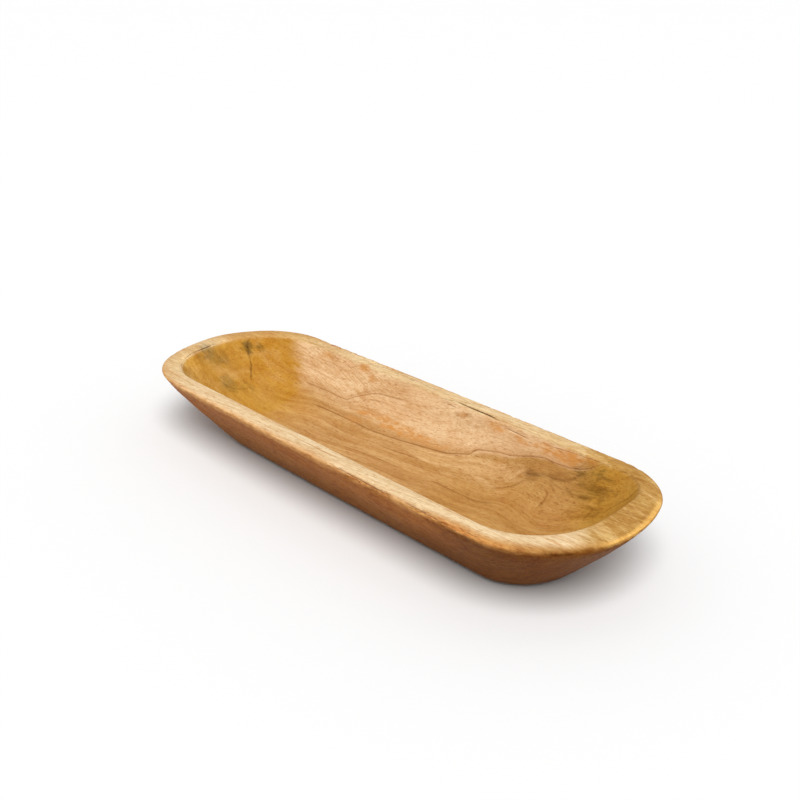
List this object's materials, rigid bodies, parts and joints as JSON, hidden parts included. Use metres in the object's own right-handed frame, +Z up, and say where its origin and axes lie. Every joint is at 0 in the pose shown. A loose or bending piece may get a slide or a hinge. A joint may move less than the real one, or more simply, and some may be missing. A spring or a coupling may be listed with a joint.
{
  "type": "carved wooden trough tray",
  "caption": "Long shallow serving tray carved from one block of wood, with a flat rim, rounded raked ends, a smooth trough and a narrow flat foot.",
  "frame": {"origin": "middle of the tray's footprint, on the sole of the foot", "axes": "+X along the length towards the end with the wider rim, +Y across towards the narrower long rim, +Z up"},
  "size_m": [0.5, 0.166, 0.062],
  "materials": {
    "tray_wood": "hand-carved light hardwood, satin, with grain lines, knots, cracks and smoky stains"
  },
  "bodies": {
    "root": {"tray": "tray_wood"}
  },
  "joints": []
}
